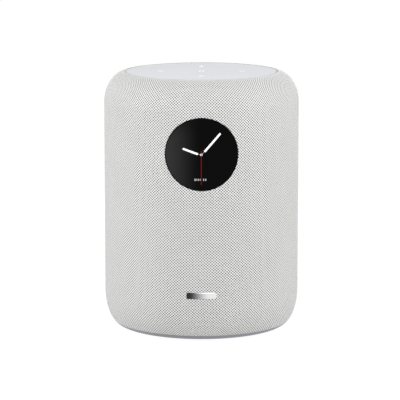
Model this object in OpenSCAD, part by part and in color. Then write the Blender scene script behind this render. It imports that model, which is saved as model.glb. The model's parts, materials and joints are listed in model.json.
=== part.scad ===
// Upright fabric-covered smart speaker with a round curved display.
// +Z is up, the front faces -Y, and the origin is the centre of the face it stands on.

/* [Body] */
// Outer diameter of the fabric sleeve
body_d = 146; // [140:1:152]
// Overall height, from the foot to the crest of the fabric
body_h = 193; // [191:0.5:195]
// Height of the rounded top edge
top_round_h = 23.2; // [21:0.2:24]
// Height of the rounded bottom edge
bottom_round_h = 26.8; // [26:0.2:28]
// Thickness of the knitted fabric
fabric_t = 0.8; // [0.6:0.1:0.9]
// Wall of the moulded grille under the fabric
grille_t = 2; // [1.6:0.1:2.2]

/* [Top] */
// Diameter of the touch plate
plate_d = 112.6; // [110:0.2:113]
// Depth of the touch plate below the crest of the fabric
plate_drop = 0.2; // [0:0.1:0.8]
// Distance from the centre icon to the side icons
icon_spread = 30.3; // [26:0.1:34]
// Distance from the centre icon to the front and rear icons
icon_rise = 32; // [28:0.5:34]
// Radius of the touch plate's upper edge
plate_edge_r = 0.3; // [0.2:0.1:0.8]

/* [Display] */
// Diameter of the display glass
display_d = 53.3; // [50:0.1:55]
// Height of the display centre above the foot
display_z = 140.5; // [139:0.5:142]

/* [Badge] */
// Width of the plain front badge
badge_w = 22; // [16:1:26]
// Height of the plain front badge
badge_h = 4.6; // [3:0.2:6]
// Height of the badge centre above the foot
badge_z = 36.5; // [34:0.5:40]

/* [Rear panel] */
// Width of the recess for the sockets
recess_w = 60; // [58:1:62]
// Height of the recess for the sockets
recess_h = 34; // [34:1:36]
// Height of the recess centre above the foot
recess_z = 45; // [45:0.5:47]
// Radius of the headphone socket bore
aux_r = 1.8; // [1.76:0.01:1.9]

/* [Drivers] */
// Height of the woofer centre
woofer_z = 67; // [66:0.5:68]
// Angle of each tweeter from the front
tweeter_angle = 62; // [58:1:70]
// Height of the tweeter centres
tweeter_z = 141; // [139:0.5:144]

/* [Hidden] */

$fn = 96;
through = 200;        // length of a cutter that passes right through
radius = body_d / 2;
round_steps = 12;     // straight steps along each rounded edge

// The outline: an upright wall between two quarter-ellipse edges
foot_lift = 1.5;                         // the base floor stands this high on the foot
plate_r = plate_d / 2;
crest_r = plate_r + 0.3;                 // the fabric ends here, round the touch plate
top_round_w = radius - crest_r;
bottom_round_w = 12.5;
bottom_r = radius - bottom_round_w;
top_start_z = body_h - top_round_h;
bottom_end_z = foot_lift + bottom_round_h;
hem_r = 66.8;                             // the fabric's lower edge, above the base ring
hem_angle = acos((hem_r - bottom_r) / bottom_round_w);
hem_z = bottom_end_z - bottom_round_h * sin(hem_angle);

function bottom_arc(inset, from, to) = [
    for (i = [0 : round_steps])
        let (a = from + (to - from) * i / round_steps)
        [bottom_r + (bottom_round_w - inset) * cos(a),
         bottom_end_z + (bottom_round_h - inset) * sin(a)]
];
function top_arc(inset, from, to) = [
    for (i = [0 : round_steps])
        let (a = from + (to - from) * i / round_steps)
        [crest_r + (top_round_w - inset) * cos(a),
         top_start_z + (top_round_h - inset) * sin(a)]
];

// Layers of the wall
grille_inset = fabric_t + 0.1;
grille_inner_inset = grille_inset + grille_t;
grille_flange_w = 8.6;                   // the grille's inward flange under the touch plate
plate_top_z = body_h - plate_drop;
flange_top_z = body_h - grille_inner_inset;
plate_bottom_z = flange_top_z;
window_w = 10.5;
window_h = 21;
window_tiers = 5;
window_pitch_z = 26.5;
window_first_z = 28;
window_step = 12;                        // degrees between grille windows

// Base
base_floor_t = 2.5;
base_rim_r = 57.6;
base_rim_top = 10;
foot_inner_r = 46.8;
foot_outer_r = 52.6;
foot_seat = 0.8;
post_x = 34;
post_front_y = -26;
post_back_y = 22;
POSTS = [[-post_x, post_front_y], [post_x, post_front_y], [-post_x, post_back_y], [post_x, post_back_y]];

// Speaker cabinet
cabinet_r = 68;
cabinet_wall = 3;
cabinet_z0 = 16;
cabinet_z1 = 118;
baffle_y = -42;
baffle_t = 4;
cabinet_back_y = 31;
seal_t = 0.6;
lid_y0 = cabinet_back_y + seal_t;
lid_y1 = lid_y0 + 3.4;
lid_screw_x = 51;
LID_SCREWS = [for (x = [-lid_screw_x, lid_screw_x], z = [23, 67, 111]) [x, z]];

// Woofer, along its own axis: zero is the back of the mounting flange, front positive
woofer_gasket_t = 0.8;
woofer_y = baffle_y - woofer_gasket_t;
woofer_r = 49.5;
woofer_screw_r = 45.5;
woofer_flange_t = 3;
woofer_mouth_r = 40;
woofer_wall = 2;
coil_r = 9.95;
coil_wall = 0.5;
cone_neck_z = -14;
cone_rim_r = 34;
cone_rim_z = 2.4;
paper_t = 0.6;
plate_back_z = -32;
plate_front_z = -28;
magnet_back_z = -46;
yoke_back_z = -51;

// Tweeters, along their own axis: zero is the back of the faceplate, outward positive
tweeter_reach = 60;
tweeter_r = 18;
dome_r = 12.7;
dome_edge_r = 13.1;

// Display, along its own axis
housing_r = display_d / 2 + 1.55;
housing_back = 56;
panel_face = 65;
glass_t = 1.8;

// Rear panel and what is behind it
recess_wall = 2;
recess_floor_y = 60;
recess_round = 8;
recess_gap = 0.3;
inlet_x = -15;
inlet_z = 38;
inlet_w = 22;
inlet_h = 14;
inlet_pin_x = 4.3;
ethernet_x = 14;
ethernet_w = 16;
ethernet_h = 13.6;
upper_row_z = 54;
aux_x = -20;
aux_bush_r = 3.4;
pair_x = 0;
pair_r = 3;
pair_gap = 0.3;
slider_x = 15.7;
slider_travel = 2.6;
slider_w = 4;
slider_h = 2.4;
slider_gap = 0.4;
io_board_y = 42.4;
board_t = 1.6;
io_front_y = io_board_y + board_t;

// Upper frame, touch panel and boards
frame_r = 50;
frame_wall = 2.5;
frame_top_z = 183;
touch_board_z = 186.3;
touch_board_t = 1.2;
touch_board_r = 45.3;
guide_r = 39;
icon_depth = 0.4;
sign_w = 3.4;
sign_stroke = 0.8;
top_screw_r = 51.4;
mic_r = 42.4;
supply_y = 39;
main_board_y = 8;
woofer_lead_x = 3;
supply_lead_x = 10;
SUPPLY_SCREWS = [for (x = [-36, 36], z = [74, 112]) [x, z]];
MAIN_SCREWS = [for (x = [-30, 30], z = [130, 174]) [x, z]];
IO_SCREWS = [[-24, 60], [23, 60], [23.5, 46]];

// ---------------------------------------------------------------- helpers

// Turns +Z to face the front, keeping X to the right
module facing_front(y, z) translate([0, y, z]) rotate([90, 0, 0]) children();

// A cylinder along Y, from y0 to y1
module rod_y(x, z, r, y0, y1) translate([x, y0, z]) rotate([-90, 0, 0]) cylinder(r = r, h = y1 - y0);

// A block given by its centre in X and Z and its two faces in Y
module block_y(x, z, w, h, y0, y1) translate([x - w / 2, y0, z - h / 2]) cube([w, y1 - y0, h]);

module ring(r0, r1, z0, z1) {
    translate([0, 0, z0])
        difference() {
            cylinder(r = r1, h = z1 - z0);
            translate([0, 0, -1]) cylinder(r = r0, h = z1 - z0 + 2);
        }
}

module rounded_rect(w, h, r) {
    square([w - 2 * r, h], center = true);
    square([w, h - 2 * r], center = true);
    for (x = [-1, 1], y = [-1, 1])
        translate([x * (w / 2 - r), y * (h / 2 - r)]) circle(r);
}

// A rounded bar along Y round the socket recess
module recess_bar(grow, y0, y1) {
    translate([0, y1, recess_z]) rotate([90, 0, 0])
        linear_extrude(y1 - y0)
            rounded_rect(recess_w + 2 * grow, recess_h + 2 * grow, recess_round + grow);
}

module screw(head_r, head_h, shank_r, length) {
    difference() {
        cylinder(r = head_r, h = head_h);
        for (a = [0, 90])
            rotate([0, 0, a])
                translate([-head_r * 0.55, -0.35, head_h * 0.5]) cube([head_r * 1.1, 0.7, head_h]);
    }
    translate([0, 0, -length]) cylinder(r = shank_r, h = length);
}

module lead(points, r) {
    for (i = [0 : len(points) - 2])
        hull() {
            translate(points[i]) sphere(r = r, $fn = 8);
            translate(points[i + 1]) sphere(r = r, $fn = 8);
        }
}

// Wall layer between two insets, from the hem to the crest
module wall_layer(outer, inner) {
    rotate_extrude()
        polygon(concat(
            bottom_arc(outer, -hem_angle, 0),
            top_arc(outer, 0, 90),
            top_arc(inner, 90, 0),
            bottom_arc(inner, 0, -hem_angle)
        ));
}

// ---------------------------------------------------------------- outer skin

module fabric_sleeve() {
    color("#d8d8d6")
        difference() {
            wall_layer(0, fabric_t);
            facing_front(0, display_z) cylinder(r = display_d / 2 + 0.3, h = through);
            recess_bar(recess_wall + recess_gap, 40, through);
            for (x = [-1, 1])
                facing_front(0, badge_z) translate([x * badge_w * 0.32, 0, 0]) cylinder(r = 1, h = through);
        }
}

module grille_windows() {
    for (tier = [0 : window_tiers - 1]) {
        z = window_first_z + tier * window_pitch_z;
        // the two upper tiers leave the front free for the display
        near = z + window_h > display_z - housing_r - 2 ? 36 : 0;
        for (a = [0 : window_step : 96])
            for (side = [-1, 1])
                if (a >= near && !(a == 0 && side < 0) && !(a == 0 && abs(badge_z - z - window_h / 2) < window_h))
                    rotate([0, 0, side * a])
                        translate([-window_w / 2, -radius - 1, z]) cube([window_w, 8, window_h]);
    }
}

module grille_basket() {
    color("#5c5f63")
        difference() {
            union() {
                wall_layer(grille_inset, grille_inner_inset);
                ring(crest_r - grille_flange_w, crest_r + 1.9, flange_top_z - grille_t, flange_top_z);
                ring(crest_r, crest_r + 1.9, flange_top_z - grille_t, flange_top_z + 0.6);
                ring(base_rim_r + 0.3, hem_r - grille_inset, hem_z, hem_z + 2.6);
            }
            facing_front(0, display_z) cylinder(r = housing_r + 0.2, h = through);
            recess_bar(recess_wall + recess_gap, 40, through);
            for (x = [-1, 1])
                facing_front(0, badge_z) translate([x * badge_w * 0.32, 0, 0]) cylinder(r = 1, h = through);
            for (a = [45 : 90 : 315])
                rotate([0, 0, a]) translate([top_screw_r, 0, 0]) {
                    cylinder(r = 1.1, h = body_h);
                    translate([0, 0, flange_top_z - 1]) cylinder(r = 2.3, h = 2);
                }
            grille_windows();
        }
}

module base_shell() {
    color("#9a9ca3")
        difference() {
            union() {
                rotate_extrude()
                    polygon(concat(
                        [[0, foot_lift]],
                        bottom_arc(0, -90, -hem_angle),
                        [[base_rim_r, hem_z], [base_rim_r, base_rim_top], [base_rim_r - 2, base_rim_top],
                         [base_rim_r - 2, foot_lift + base_floor_t], [0, foot_lift + base_floor_t]]
                    ));
                for (p = POSTS)
                    translate([p[0], p[1], foot_lift]) cylinder(r = 5, h = cabinet_z0 - foot_lift);
            }
            ring(foot_inner_r - 0.2, foot_outer_r + 0.2, -1, foot_lift + foot_seat);
            for (p = POSTS)
                translate([p[0], p[1], 0]) {
                    cylinder(r = 1.7, h = through);
                    cylinder(r = 3.3, h = 9);
                }
            // air slots under the power supply
            for (x = [-20 : 8 : 20])
                translate([x - 1.5, 30, 0]) cube([3, 12, 8]);
        }
}

module rubber_foot() {
    color("#3a3b3d") ring(foot_inner_r, foot_outer_r, 0, foot_lift + foot_seat);
}

module front_badge() {
    color("#d7d9dc")
        translate([0, 0, badge_z]) {
            intersection() {
                translate([0, 0, -badge_h / 2]) ring(radius, radius + 0.45, 0, badge_h);
                rotate([90, 0, 0]) linear_extrude(through) rounded_rect(badge_w, badge_h, 1.4);
            }
            for (x = [-1, 1])
                intersection() {
                    translate([x * badge_w * 0.32, 0, 0]) rotate([90, 0, 0]) cylinder(r = 0.8, h = through);
                    translate([0, 0, -badge_h / 2]) ring(radius - 3.4, radius + 0.2, 0, badge_h);
                }
        }
}

// ---------------------------------------------------------------- touch panel

module arrow(size) polygon([[-size / 2, -size / 2], [-size / 2, size / 2], [size / 2, 0]]);

// Skip sign: two arrow heads and a bar, pointing to +X
module skip_sign() {
    translate([-1, 0]) arrow(1.5);
    translate([0.65, 0]) arrow(1.5);
    translate([1.5, -0.75]) square([0.5, 1.5]);
}

module minus_sign() square([sign_w, sign_stroke], center = true);

module plus_sign() {
    minus_sign();
    square([sign_stroke, sign_w], center = true);
}

module play_pause_sign() {
    translate([-1, 0]) arrow(2);
    for (x = [0.3, 1.3])
        translate([x, -1]) square([0.6, 2]);
}

module icon_shapes() {
    play_pause_sign();
    translate([0, icon_rise]) plus_sign();
    translate([0, -icon_rise]) minus_sign();
    translate([icon_spread, 0]) skip_sign();
    translate([-icon_spread, 0]) mirror([1, 0]) skip_sign();
}

module top_plate() {
    color("#e3e6ea")
        difference() {
            rotate_extrude() {
                edge_z = plate_top_z - plate_edge_r;
                translate([0, plate_bottom_z]) square([plate_r, edge_z - plate_bottom_z]);
                translate([0, plate_bottom_z]) square([plate_r - plate_edge_r, plate_top_z - plate_bottom_z]);
                translate([plate_r - plate_edge_r, edge_z]) circle(plate_edge_r);
            }
            translate([0, 0, plate_top_z - icon_depth]) linear_extrude(1) icon_shapes();
            for (a = [45 : 90 : 315])
                rotate([0, 0, a]) translate([mic_r, 0, 0]) cylinder(r = 0.5, h = 2 * through);
        }
}

module touch_icons() {
    color("white") translate([0, 0, plate_top_z - icon_depth]) linear_extrude(icon_depth) icon_shapes();
}

module icon_light_guide() {
    color("#f2f4f6") ring(4, guide_r, plate_bottom_z - 1.8, plate_bottom_z);
}

module touch_board() {
    color("#2f6b4a")
        difference() {
            translate([0, 0, touch_board_z]) cylinder(r = touch_board_r, h = touch_board_t);
            // cable slot
            translate([-7, 12, 0]) cube([14, 3, 2 * through]);
        }
}

module icon_leds() {
    led_z = touch_board_z + touch_board_t;
    color("#f5f0d8")
        for (p = [[0, -6], [0, icon_rise], [0, -icon_rise], [icon_spread, 0], [-icon_spread, 0]])
            translate([p[0] - 0.8, p[1] - 0.5, led_z]) cube([1.6, 1, plate_bottom_z - 1.8 - led_z]);
}

module microphones() {
    color("#b9bcc0")
        for (a = [45 : 90 : 315])
            rotate([0, 0, a])
                translate([mic_r - 1.5, -1.9, touch_board_z + touch_board_t]) cube([3, 3.8, 1]);
}

module top_frame() {
    color("#4a4d52")
        difference() {
            union() {
                ring(frame_r - 4.4, frame_r + 3.6, frame_top_z, flange_top_z - grille_t);
                ring(frame_r - 8, frame_r - 4, frame_top_z, touch_board_z);
            }
            for (a = [45 : 90 : 315])
                rotate([0, 0, a]) translate([top_screw_r, 0, 150]) cylinder(r = 0.9, h = 50);
            for (a = [0 : 90 : 270])
                rotate([0, 0, a]) translate([frame_r - frame_wall / 2, 0, frame_top_z - 1]) {
                    cylinder(r = 0.9, h = 10);
                    translate([0, 0, 4]) cylinder(r = 1.7, h = 10);
                }
        }
}

// ---------------------------------------------------------------- display

module display_glass() {
    color([0.1, 0.1, 0.12])
        intersection() {
            translate([0, 0, display_z - display_d]) ring(radius - glass_t, radius, 0, 2 * display_d);
            facing_front(0, display_z) cylinder(r = display_d / 2, h = through);
        }
}

// Foam ring from the flat panel to the curved glass
module display_gasket() {
    color("#202123")
        intersection() {
            translate([0, 0, display_z - display_d]) cylinder(r = radius - glass_t, h = 2 * display_d);
            facing_front(-panel_face, display_z) ring(23.4, 26.2, 0, 20);
        }
}

module display_panel() {
    color("#101114") facing_front(-panel_face, display_z) translate([0, 0, -2.4]) cylinder(r = 26.2, h = 2.4);
}

module display_board() {
    color("#2f6b4a")
        facing_front(-panel_face, display_z)
            translate([0, 0, -5.2]) {
                cylinder(r = 23, h = 1.2);
                translate([-6, -5, 1.2]) cube([12, 10, 1.2]);
            }
}

module display_housing() {
    color("#3c3f44")
        intersection() {
            translate([0, 0, display_z - display_d]) cylinder(r = radius - grille_inset, h = 2 * display_d);
            facing_front(-housing_back, display_z)
                difference() {
                    cylinder(r = housing_r, h = 30);
                    translate([0, 0, panel_face - housing_back - 2.4]) cylinder(r = display_d / 2 + 0.1, h = 40);
                    translate([0, 0, 2]) cylinder(r = 24, h = 40);
                    translate([-9, -20, -1]) cube([18, 4, 6]);
                }
        }
}

// ---------------------------------------------------------------- rear panel

module inlet_cavity(y0, y1) {
    for (x = [-1, 1])
        rod_y(inlet_x + x * 4, inlet_z, 4.5, y0, y1);
    block_y(inlet_x, inlet_z, 8, 7.4, y0, y1);
}

module rear_panel() {
    slot_w = slider_w + slider_travel + 2 * slider_gap;
    color("#8b8e95")
        difference() {
            intersection() {
                recess_bar(recess_wall, recess_floor_y - recess_wall, radius + 1);
                cylinder(r = radius, h = body_h);
            }
            recess_bar(0, recess_floor_y, through);
            block_y(inlet_x, inlet_z, inlet_w, inlet_h, 40, recess_floor_y + 1);
            block_y(ethernet_x, inlet_z, ethernet_w, ethernet_h, 40, recess_floor_y + 1);
            rod_y(aux_x, upper_row_z, aux_bush_r, 40, recess_floor_y + 1);
            rod_y(pair_x, upper_row_z, pair_r + pair_gap, 40, recess_floor_y + 1);
            block_y(slider_x + slider_travel / 2, upper_row_z, slot_w, slider_h + 0.6, 40, recess_floor_y + 1);
        }
}

module power_inlet() {
    color("#202225")
        difference() {
            block_y(inlet_x, inlet_z, inlet_w, inlet_h, io_board_y, recess_floor_y);
            inlet_cavity(45, recess_floor_y + 1);
            for (x = [-1, 1])
                rod_y(inlet_x + x * inlet_pin_x, inlet_z, 1.18, 40, 50);
        }
}

module inlet_pins() {
    color("#c9ccd0")
        for (x = [-1, 1])
            rod_y(inlet_x + x * inlet_pin_x, inlet_z, 1.18, io_board_y, 56.5);
}

module ethernet_jack() {
    color("#3a3d42")
        difference() {
            block_y(ethernet_x, inlet_z, ethernet_w, ethernet_h, io_front_y, recess_floor_y);
            block_y(ethernet_x, inlet_z + 0.6, 11.9, 8.2, 47, recess_floor_y + 1);
            block_y(ethernet_x, inlet_z - 4.6, 6.4, 3, 47, recess_floor_y + 1);
        }
}

module ethernet_contacts() {
    color("#d9b65c")
        for (i = [0 : 7])
            block_y(ethernet_x + (i - 3.5) * 1.02, inlet_z + 4.3, 0.4, 0.8, 47, 58);
}

module aux_jack() {
    color("#202225")
        difference() {
            union() {
                block_y(aux_x, upper_row_z, 8, 8, io_front_y, recess_floor_y - recess_wall);
                rod_y(aux_x, upper_row_z, aux_bush_r, 50, recess_floor_y + 0.6);
            }
            rod_y(aux_x, upper_row_z, aux_r, io_front_y + 1, recess_floor_y + 1);
        }
}

module pair_button() {
    color("#d5d7da") {
        rod_y(pair_x, upper_row_z, pair_r, 56, recess_floor_y + 1.2);
        rod_y(pair_x, upper_row_z, pair_r + 1, 56, recess_floor_y - recess_wall - 0.3);
        rod_y(pair_x, upper_row_z, 1.6, 53.2, 57);
    }
}

module pair_switch() {
    color("#1f2023") {
        block_y(pair_x, upper_row_z, 6, 6, io_front_y, io_front_y + 4);
        rod_y(pair_x, upper_row_z, 1.7, io_front_y + 3, 52.2);
    }
}

module mic_slider() {
    color("#d5d7da") {
        block_y(slider_x, upper_row_z, slider_w, slider_h, 52.5, recess_floor_y + 1);
        block_y(slider_x, upper_row_z, slider_w + 4, slider_h + 2.4, 55, recess_floor_y - recess_wall - 0.3);
    }
}

module mic_switch() {
    color("#1f2023") block_y(slider_x + slider_travel / 2, upper_row_z, 9, 4, io_front_y, 52.1);
}

module io_board() {
    color("#2f6b4a")
        difference() {
            block_y(-0.5, 47.5, 51, 29, io_board_y, io_front_y);
            // the mains inlet stands clear of this low-voltage board
            block_y(inlet_x - 3, inlet_z - 1, inlet_w + 8, inlet_h + 4, 30, through);
            for (p = IO_SCREWS)
                rod_y(p[0], p[1], 1.1, 30, 60);
        }
}

// ---------------------------------------------------------------- cabinet

module cabinet_section(r, z0, z1, y0, y1) {
    intersection() {
        translate([0, 0, z0]) cylinder(r = r, h = z1 - z0);
        translate([-through / 2, y0, 0]) cube([through, y1 - y0, through]);
    }
}

module cabinet_body() {
    inner_z0 = cabinet_z0 + cabinet_wall;
    inner_z1 = cabinet_z1 - cabinet_wall;
    color("#2b2d30")
        difference() {
            union() {
                difference() {
                    cabinet_section(cabinet_r, cabinet_z0, cabinet_z1, baffle_y, cabinet_back_y);
                    cabinet_section(cabinet_r - cabinet_wall, inner_z0, inner_z1, baffle_y + baffle_t, 60);
                }
                for (p = LID_SCREWS)
                    rod_y(p[0], p[1], 4, cabinet_back_y - 14, cabinet_back_y);
                for (p = POSTS)
                    translate([p[0], p[1], cabinet_z0]) cylinder(r = 4, h = 10);
                for (p = POSTS)
                    translate([p[0], p[1], cabinet_z1 - 10]) cylinder(r = 4, h = 10);
            }
            facing_front(0, woofer_z) {
                cylinder(r = woofer_mouth_r + woofer_wall + 0.5, h = through);
                for (a = [45 : 90 : 315])
                    rotate([0, 0, a]) translate([woofer_screw_r, 0, 0]) cylinder(r = 1.3, h = through);
            }
            for (p = LID_SCREWS)
                rod_y(p[0], p[1], 1.3, cabinet_back_y - 12, 60);
            for (p = POSTS)
                translate([p[0], p[1], -1]) {
                    cylinder(r = 1.3, h = cabinet_z0 + 9);
                    translate([0, 0, cabinet_z1 - 8]) cylinder(r = 1.3, h = 20);
                }
        }
}

module cabinet_lid() {
    color("#34363a")
        difference() {
            union() {
                cabinet_section(cabinet_r, cabinet_z0, cabinet_z1, lid_y0, lid_y1);
                for (p = SUPPLY_SCREWS)
                    rod_y(p[0], p[1], 3, lid_y1 - 1, supply_y);
                for (p = IO_SCREWS)
                    rod_y(p[0], p[1], 2.4, lid_y1 - 1, io_board_y);
            }
            for (p = LID_SCREWS)
                rod_y(p[0], p[1], 1.7, 20, 60);
            for (p = SUPPLY_SCREWS)
                rod_y(p[0], p[1], 0.9, lid_y0 + 1, 60);
            for (p = IO_SCREWS)
                rod_y(p[0], p[1], 0.9, lid_y0 + 1, 60);
            rod_y(woofer_lead_x, 50, 2.5, 20, 60);
        }
}

module cabinet_seal() {
    color("#17181a")
        difference() {
            cabinet_section(cabinet_r, cabinet_z0, cabinet_z1, cabinet_back_y, lid_y0);
            cabinet_section(cabinet_r - 12, cabinet_z0 + 3, cabinet_z1 - 3, 20, 40);
            for (p = LID_SCREWS)
                rod_y(p[0], p[1], 1.7, 20, 60);
        }
}

module damping_pad() {
    color("#e6e6e0") translate([-44, 10, 82]) cube([88, 20, 24]);
}

// ---------------------------------------------------------------- woofer

module woofer_basket() {
    color("#3b3d41")
        facing_front(woofer_y, woofer_z)
            difference() {
                union() {
                    ring(woofer_mouth_r, woofer_r, 0, woofer_flange_t);
                    rotate_extrude()
                        polygon([[woofer_mouth_r, 0], [25, plate_front_z + 2], [14, plate_front_z + 2],
                                 [14, plate_front_z], [25 + woofer_wall, plate_front_z],
                                 [woofer_mouth_r + woofer_wall, -2], [woofer_mouth_r + woofer_wall, 1],
                                 [woofer_mouth_r, 1]]);
                    ring(24, 29, -23, -21);
                }
                for (a = [45 : 90 : 315])
                    rotate([0, 0, a]) translate([woofer_screw_r, 0, -1]) cylinder(r = 2, h = 10);
                // windows between the arms
                for (a = [0 : 60 : 300])
                    rotate([0, 0, a]) translate([24, -9, -19]) cube([20, 18, 14]);
            }
}

module woofer_front_plate() {
    color("#8d9095")
        facing_front(woofer_y, woofer_z) ring(coil_r + coil_wall + 0.45, 24, plate_back_z, plate_front_z);
}

module woofer_magnet() {
    color("#26272a") facing_front(woofer_y, woofer_z) ring(14, 30, magnet_back_z, plate_back_z);
}

module woofer_yoke() {
    color("#8d9095")
        facing_front(woofer_y, woofer_z)
            difference() {
                union() {
                    translate([0, 0, yoke_back_z]) cylinder(r = 28, h = magnet_back_z - yoke_back_z);
                    translate([0, 0, yoke_back_z]) cylinder(r = coil_r - 0.35, h = plate_front_z - yoke_back_z);
                }
                translate([0, 0, yoke_back_z - 1]) cylinder(r = 2.5, h = 60);
            }
}

module woofer_voice_coil() {
    color("#b06f38") facing_front(woofer_y, woofer_z) ring(coil_r, coil_r + coil_wall, -38, cone_neck_z + 1);
}

module woofer_cone() {
    neck_r = coil_r + coil_wall;
    color("#2a2b2e")
        facing_front(woofer_y, woofer_z)
            rotate_extrude()
                polygon([[neck_r, cone_neck_z], [neck_r, cone_neck_z + 1], [31.5, cone_rim_z + paper_t],
                         [cone_rim_r, cone_rim_z + paper_t], [cone_rim_r, cone_rim_z], [31.8, cone_rim_z]]);
}

// Shallow cap, glued to the cone where both have the same radius
module woofer_dust_cap() {
    cap_r = 13;
    cap_z = -11;
    cap_sphere = 17;
    centre_z = cap_z - sqrt(cap_sphere * cap_sphere - cap_r * cap_r);
    color("#1c1d20")
        facing_front(woofer_y, woofer_z)
            intersection() {
                translate([0, 0, centre_z])
                    difference() {
                        sphere(r = cap_sphere);
                        sphere(r = cap_sphere - paper_t);
                    }
                translate([0, 0, cap_z + 0.3]) cylinder(r = cap_r, h = 20);
            }
}

module woofer_surround() {
    roll_r = 3;
    lip_z = cone_rim_z + paper_t;
    color("#141517")
        facing_front(woofer_y, woofer_z) {
            rotate_extrude()
                translate([woofer_mouth_r - roll_r, lip_z])
                    intersection() {
                        difference() {
                            circle(roll_r + paper_t);
                            circle(roll_r);
                        }
                        translate([-10, 0]) square([20, 10]);
                    }
            ring(31.6, cone_rim_r, lip_z, lip_z + paper_t);
            ring(woofer_mouth_r, 43, lip_z, lip_z + paper_t);
        }
}

module woofer_spider() {
    inner = coil_r + coil_wall + 0.05;
    waves = 4;
    wave_w = (25 - inner) / waves;
    color("#a8713c")
        facing_front(woofer_y, woofer_z) {
            rotate_extrude()
                polygon(concat(
                    [for (i = [0 : 2 * waves]) [inner + i * wave_w / 2, -21 + (i % 2)]],
                    [for (i = [2 * waves : -1 : 0]) [inner + i * wave_w / 2, -20.5 + (i % 2)]]
                ));
            ring(25, 27, -21, -20.5);
        }
}

module woofer_gasket() {
    color("#17181a")
        facing_front(baffle_y, woofer_z)
            difference() {
                ring(woofer_mouth_r + 3, woofer_r, 0, woofer_gasket_t);
                for (a = [45 : 90 : 315])
                    rotate([0, 0, a]) translate([woofer_screw_r, 0, -1]) cylinder(r = 2, h = 10);
            }
}

// ---------------------------------------------------------------- tweeters

// Places a tweeter; side is -1 for the left and 1 for the right
module at_tweeter(side) {
    translate([0, 0, tweeter_z])
        rotate([0, 0, side * tweeter_angle]) translate([0, -tweeter_reach, 0]) rotate([90, 0, 0]) children();
}

module tweeter_frame(side) {
    color("#3b3d41")
        at_tweeter(side)
            difference() {
                union() {
                    ring(dome_edge_r + 0.3, tweeter_r, 0, 2);
                    ring(dome_edge_r + 0.3, 15.2, -4, 1);
                }
                for (a = [0, 180])
                    rotate([0, 0, a]) translate([16.4, 0, -1]) cylinder(r = 0.9, h = 10);
            }
}

module tweeter_motor(side) {
    color("#8d9095")
        at_tweeter(side)
            difference() {
                translate([0, 0, -16]) cylinder(r = 15.2, h = 12);
                ring(12.1, 13.2, -14, 0);
                translate([0, 0, -5]) cylinder(r = 12.1, h = 5);
            }
}

// Dome, its edge and the coil that hangs in the motor's gap
module tweeter_dome(side) {
    dome_h = 4.6;
    shell = 0.4;
    sphere_r = (dome_r * dome_r + dome_h * dome_h) / (2 * dome_h);
    color("#c7cad0")
        at_tweeter(side) {
            intersection() {
                translate([0, 0, 0.4 + dome_h - sphere_r])
                    difference() {
                        sphere(r = sphere_r);
                        sphere(r = sphere_r - shell);
                    }
                translate([0, 0, 0.4]) cylinder(r = dome_r, h = 20);
            }
            ring(12.4, 12.9, -10, 0.8);
            ring(12.4, dome_edge_r, 0.2, 0.8);
        }
}

module tweeter_left_frame() tweeter_frame(-1);
module tweeter_left_motor() tweeter_motor(-1);
module tweeter_left_dome() tweeter_dome(-1);
module tweeter_right_frame() tweeter_frame(1);
module tweeter_right_motor() tweeter_motor(1);
module tweeter_right_dome() tweeter_dome(1);

// ---------------------------------------------------------------- upper frame and electronics

module upper_frame() {
    color("#4a4d52")
        difference() {
            union() {
                ring(frame_r - frame_wall, frame_r, cabinet_z1, frame_top_z);
                ring(24, frame_r, cabinet_z1, cabinet_z1 + 2.5);
                facing_front(-46, display_z) cylinder(r = housing_r, h = housing_back - 46);
                for (side = [-1, 1])
                    at_tweeter(side) translate([0, 0, -14]) cylinder(r = 20, h = 14);
                for (p = MAIN_SCREWS)
                    rod_y(p[0], p[1], 3, main_board_y + board_t, main_board_y + 32);
            }
            // hollow again inside the tube, in front of the board posts
            difference() {
                translate([0, 0, cabinet_z1 + 2.5]) cylinder(r = frame_r - frame_wall, h = 80);
                for (p = MAIN_SCREWS)
                    rod_y(p[0], p[1], 3, main_board_y + board_t, main_board_y + 50);
            }
            for (p = MAIN_SCREWS)
                rod_y(p[0], p[1], 0.9, 0, main_board_y + 12);
            facing_front(-40, display_z) cylinder(r = 24, h = 40);
            for (side = [-1, 1])
                at_tweeter(side) {
                    translate([0, 0, -30]) cylinder(r = 15.4, h = 50);
                    for (a = [0, 180])
                        rotate([0, 0, a]) translate([16.4 + 0.6, 0, -8]) cylinder(r = 0.7, h = 10);
                }
            for (p = POSTS)
                translate([p[0], p[1], 100]) cylinder(r = 1.7, h = 30);
            for (a = [0 : 90 : 270])
                rotate([0, 0, a])
                    translate([frame_r - frame_wall / 2, 0, frame_top_z - 8]) cylinder(r = 0.7, h = 20);
            // cable window at the back
            translate([-14, 30, cabinet_z1 - 1]) cube([28, 30, 19]);
        }
}

module main_board() {
    color("#2f6b4a")
        difference() {
            union() {
                block_y(0, 152, 76, 54, main_board_y, main_board_y + board_t);
                block_y(-14, 158, 18, 18, main_board_y - 1.4, main_board_y);
                block_y(14, 160, 14, 14, main_board_y - 1.4, main_board_y);
                block_y(2, 136, 24, 12, main_board_y - 3, main_board_y);
            }
            for (p = MAIN_SCREWS)
                rod_y(p[0], p[1], 1.1, 0, 20);
        }
}

module heat_sink() {
    color("#aab0b6") {
        block_y(-14, 158, 30, 26, main_board_y - 3.4, main_board_y - 1.4);
        for (i = [0 : 6])
            block_y(-27.8 + i * 4.6, 158, 1.4, 26, main_board_y - 14, main_board_y - 3.4);
    }
}

module power_supply_board() {
    color("#3f7a52")
        difference() {
            block_y(0, 93, 80, 46, supply_y, supply_y + board_t);
            for (p = SUPPLY_SCREWS)
                rod_y(p[0], p[1], 1.1, 30, 60);
        }
}

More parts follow.
